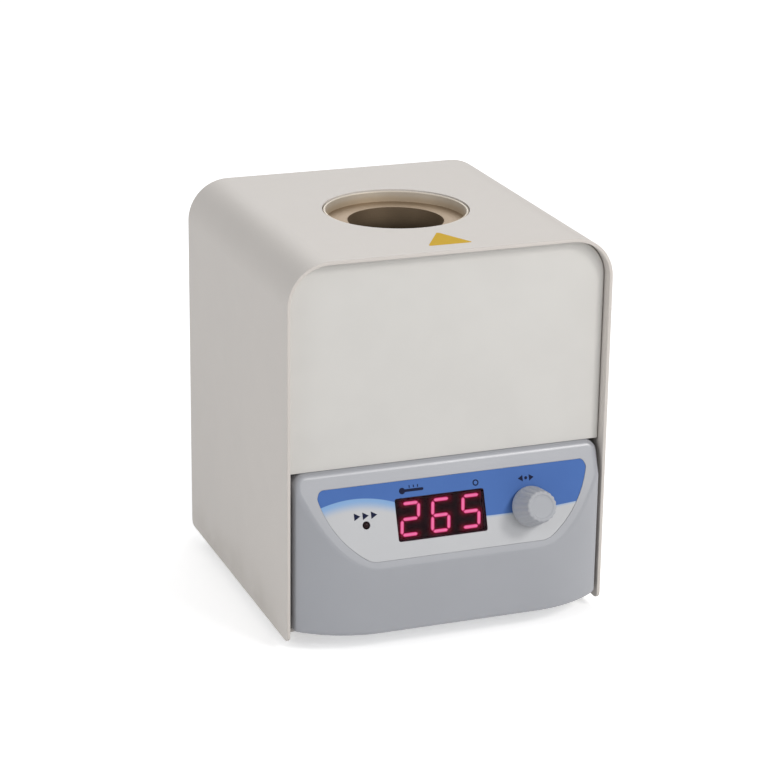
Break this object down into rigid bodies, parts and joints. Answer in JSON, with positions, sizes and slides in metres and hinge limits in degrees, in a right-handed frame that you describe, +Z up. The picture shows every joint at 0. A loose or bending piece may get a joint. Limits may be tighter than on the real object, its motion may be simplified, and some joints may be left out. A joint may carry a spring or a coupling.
{
  "type": "glass bead sterilizer",
  "caption": "Bench-top glass bead sterilizer with a folded cover, a heated bead well in the top, and a bowed control fascia with a display and a knob.",
  "frame": {"origin": "middle of the footprint, on the surface that the feet stand on", "axes": "+Z up along the well, -Y towards the control face, +X to the right of someone facing it"},
  "size_m": [0.138, 0.1538, 0.162],
  "materials": {
    "cover_paint": "satin powder coat, warm white",
    "panel_paint": "satin powder coat, warm white",
    "panel_plastic": "fine matt moulding, warm light grey",
    "fascia_plastic": "fine matt moulding, cool light grey",
    "overlay_film": "satin printed film, pale grey with a blue band",
    "red_filter": "polished dark red filter",
    "lit_segments": "lit pinkish-red diffuser",
    "lamp_lens": "dark domed lens",
    "knob_plastic": "satin off-white moulding",
    "black_plastic": "satin black moulding",
    "rocker_plastic": "polished black moulding",
    "terminal_plastic": "green moulding",
    "cutout_phenolic": "dark phenolic moulding",
    "circuit_board": "green solder mask",
    "plated_steel": "bright zinc plating",
    "screw_steel": "bright plated screws and nuts",
    "shaft_metal": "turned finish",
    "well_steel": "heat-tinted steel",
    "collar_steel": "satin steel, warm tint",
    "heater_metal": "dull band heater sheath",
    "brass_metal": "plated brass",
    "sink_metal": "extruded, anodised",
    "transformer_iron": "lacquered laminations",
    "bead_glass": "clear borosilicate beads",
    "fuse_glass": "clear tube with plated caps",
    "ceramic_fibre": "pressed ceramic fibre",
    "foot_rubber": "matt black rubber"
  },
  "bodies": {
    "housing": {"outer_cover": "cover_paint", "base_tray": "plated_steel", "foot_front_left": "foot_rubber", "foot_front_right": "foot_rubber", "foot_rear_left": "foot_rubber", "foot_rear_right": "foot_rubber", "foot_screws": "screw_steel", "foot_nuts": "screw_steel", "rear_panel": "panel_paint", "front_bulkhead": "plated_steel", "chassis_screws": "screw_steel", "moulding_screws": "screw_steel", "front_panel": "panel_plastic", "control_fascia": "fascia_plastic", "front_overlay": "overlay_film", "display_window": "red_filter", "display_case": "black_plastic", "display_segments": "lit_segments", "display_board": "circuit_board", "board_screws": "screw_steel", "run_lamp": "lamp_lens", "encoder_body": "plated_steel", "encoder_nut": "plated_steel", "well_cup": "well_steel", "glass_beads": "bead_glass", "collar_ring": "collar_steel", "collar_nuts": "screw_steel", "support_plate": "plated_steel", "flange_screws": "screw_steel", "support_pillars": "plated_steel", "pillar_screws": "screw_steel", "heater_band": "heater_metal", "clamp_screw": "screw_steel", "temperature_probe": "collar_steel", "insulation_jacket": "ceramic_fibre", "insulation_base": "ceramic_fibre", "heat_shield": "plated_steel", "thermal_cutout": "cutout_phenolic", "power_board": "circuit_board", "board_standoffs": "brass_metal", "power_board_screws": "screw_steel", "mains_transformer": "transformer_iron", "triac_heatsink": "sink_metal", "terminal_block": "terminal_plastic", "power_inlet": "black_plastic", "inlet_pin_left": "brass_metal", "inlet_pin_right": "brass_metal", "inlet_pin_earth": "brass_metal", "switch_housing": "black_plastic"},
    "push_plunger": {"encoder_plunger": "black_plastic"},
    "knob": {"encoder_shaft": "shaft_metal", "control_knob": "knob_plastic"},
    "rocker": {"switch_rocker": "rocker_plastic"},
    "fuse_tray": {"fuse_drawer": "black_plastic", "fuse_link": "fuse_glass"}
  },
  "joints": [
    {"name": "knob_push", "type": "slide", "parent": "housing", "child": "push_plunger", "axis": [0, 0.9397, -0.342], "range_m": [0, 0.0005], "stiffness_N_per_m": 1500, "springref_m": -0.0004},
    {"name": "knob_turn", "type": "hinge", "parent": "push_plunger", "child": "knob", "pos_m": [0.0332, -0.06272, 0.05231], "axis": [0, -0.9397, 0.342], "continuous": true},
    {"name": "power_rocker", "type": "hinge", "parent": "housing", "child": "rocker", "pos_m": [0.024, 0.0689, 0.034], "axis": [-1, 0, 0], "range_deg": [0, 16]},
    {"name": "fuse_slide", "type": "slide", "parent": "housing", "child": "fuse_tray", "axis": [0, 1, 0], "range_m": [0, 0.02]}
  ]
}
